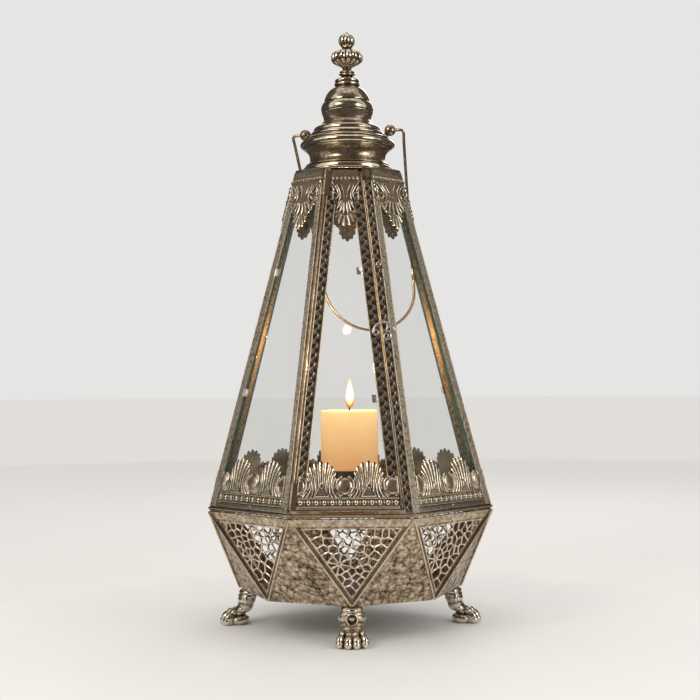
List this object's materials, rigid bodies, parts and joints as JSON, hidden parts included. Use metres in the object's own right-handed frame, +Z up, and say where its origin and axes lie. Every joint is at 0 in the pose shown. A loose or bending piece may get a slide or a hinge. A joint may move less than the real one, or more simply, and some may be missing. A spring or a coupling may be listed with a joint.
{
  "type": "candle lantern",
  "caption": "Standing eight-sided metal and glass candle lantern with a pierced base on paw feet, a hinged glazed door with a hook latch, a turned roof with finial and a swinging wire bail.",
  "frame": {"origin": "middle of the floor under the four feet, on the lantern's upright axis", "axes": "+Z up; -Y is the side with the door; +X is the viewer's right when facing the door"},
  "size_m": [0.284, 0.284, 0.6171],
  "materials": {
    "aged_silver": "silver plate with dark patina",
    "bright_silver": "polished silver plate, worn",
    "dark_silver": "dull plate, dark patina",
    "clear_glass": "clear sheet glass",
    "cream_wax": "cream candle wax",
    "burnt_cotton": "charred braided cotton"
  },
  "bodies": {
    "lantern": {"base_shell": "aged_silver", "foot_front": "aged_silver", "foot_right": "aged_silver", "foot_back": "aged_silver", "foot_left": "aged_silver", "crown_band": "aged_silver", "corner_post_1": "aged_silver", "corner_post_2": "aged_silver", "corner_post_3": "aged_silver", "corner_post_4": "aged_silver", "corner_post_5": "aged_silver", "corner_post_6": "aged_silver", "corner_post_7": "aged_silver", "corner_post_8": "aged_silver", "lower_frieze_1": "aged_silver", "lower_frieze_2": "aged_silver", "lower_frieze_3": "aged_silver", "lower_frieze_4": "aged_silver", "lower_frieze_5": "aged_silver", "lower_frieze_6": "aged_silver", "lower_frieze_7": "aged_silver", "waist_rim": "bright_silver", "base_edge_moulding": "bright_silver", "top_plate": "bright_silver", "roof_cap": "bright_silver", "finial": "bright_silver", "bail_lug_left": "bright_silver", "bail_lug_right": "bright_silver", "catch_scroll": "bright_silver", "post_knob": "bright_silver", "hinge_rod": "bright_silver", "grille_1": "bright_silver", "grille_2": "bright_silver", "grille_3": "bright_silver", "grille_4": "bright_silver", "grille_5": "bright_silver", "grille_6": "bright_silver", "grille_7": "bright_silver", "grille_8": "bright_silver", "bottom_plate": "dark_silver", "candle_bridge": "dark_silver", "candle_dish": "dark_silver", "glass_pane_1": "clear_glass", "glass_pane_2": "clear_glass", "glass_pane_3": "clear_glass", "glass_pane_4": "clear_glass", "glass_pane_5": "clear_glass", "glass_pane_6": "clear_glass", "glass_pane_7": "clear_glass", "candle": "cream_wax", "candle_wick": "burnt_cotton"},
    "door": {"door_frame": "aged_silver", "door_glass": "clear_glass", "door_lower_trim": "aged_silver", "door_upper_trim": "aged_silver", "hinge_sleeve_bottom": "bright_silver", "hinge_sleeve_top": "bright_silver", "latch_rivet": "bright_silver"},
    "latch": {"door_latch": "bright_silver"},
    "bail": {"bail_handle": "bright_silver"}
  },
  "joints": [
    {"name": "door_hinge", "type": "hinge", "parent": "lantern", "child": "door", "pos_m": [-0.05728, -0.13829, 0.128], "axis": [-0.1023, -0.2471, -0.9636], "range_deg": [0, 110]},
    {"name": "latch_turn", "type": "hinge", "parent": "door", "child": "latch", "pos_m": [0.02521, -0.09634, 0.29764], "axis": [0, -0.9687, 0.2484], "range_deg": [0, 100]},
    {"name": "bail_swing", "type": "hinge", "parent": "lantern", "child": "bail", "pos_m": [0, 0, 0.5107], "axis": [0.9613, -0.2756, 0], "range_deg": [0, 280]}
  ]
}
